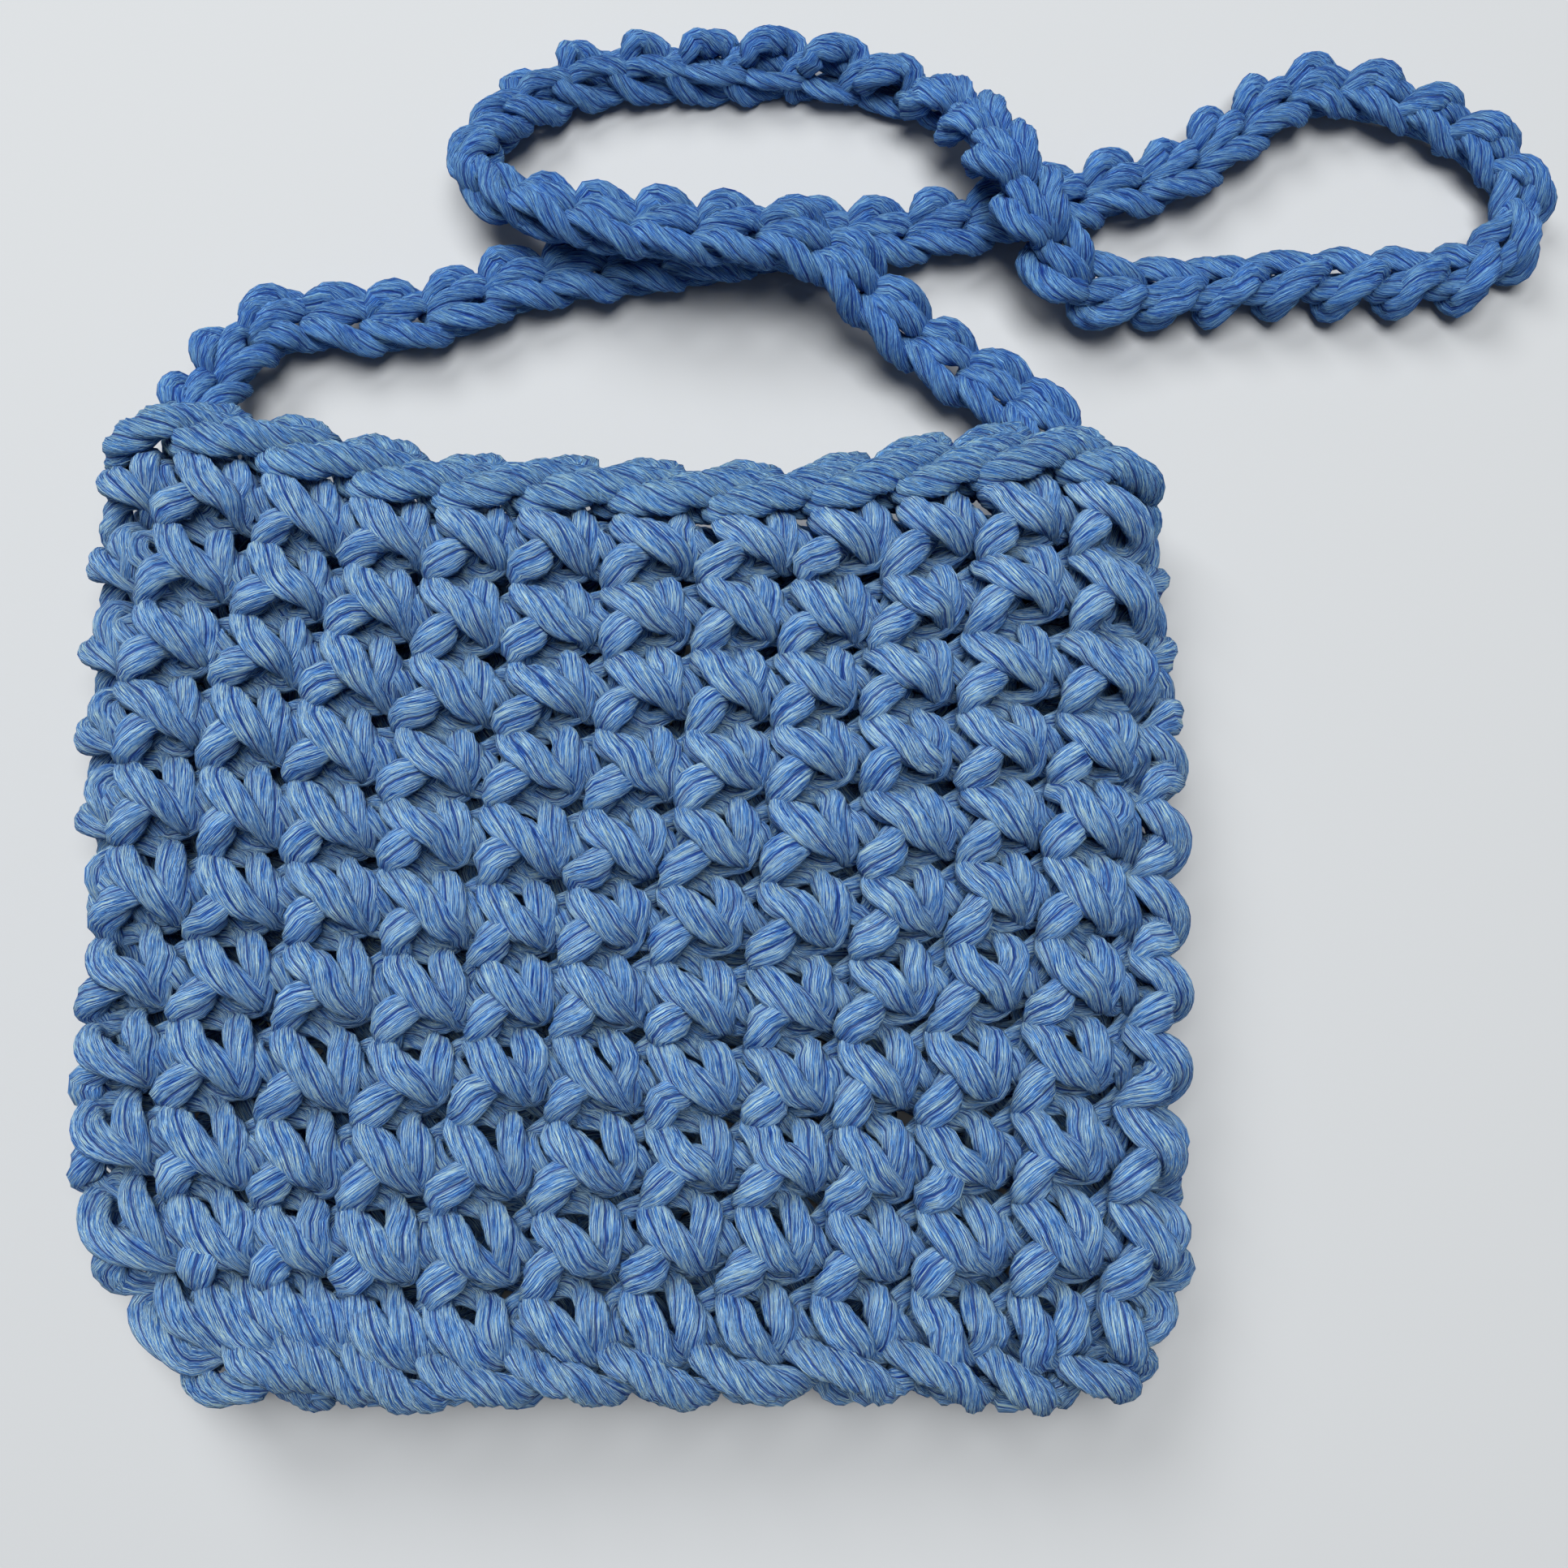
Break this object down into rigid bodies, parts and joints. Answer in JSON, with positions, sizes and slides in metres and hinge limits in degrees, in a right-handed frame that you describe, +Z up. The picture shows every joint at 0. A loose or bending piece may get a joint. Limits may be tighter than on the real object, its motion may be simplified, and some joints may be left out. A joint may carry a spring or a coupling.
{
  "type": "crochet bag",
  "caption": "Small flat shoulder bag crocheted in thick blue cotton cord, with a hollow pouch, a rope-like mouth edging and a long crocheted strap.",
  "frame": {"origin": "centre of the bag's box without the strap, on the floor that its back lies on", "axes": "+Z up out of the front face, +Y from the base towards the mouth, +X to the right as the front is seen"},
  "size_m": [0.264, 0.2505, 0.026],
  "materials": {
    "body_yarn": "matte combed cotton cord, single crochet rounds with open holes between the stitches",
    "edging_yarn": "matte combed cotton cord, a chain of long loops that lie like a twisted rope",
    "strap_yarn": "matte combed cotton cord, one row of tight stitches on a chain"
  },
  "bodies": {
    "root": {"bag_body": "body_yarn", "mouth_edging": "edging_yarn", "shoulder_strap": "strap_yarn"}
  },
  "joints": []
}
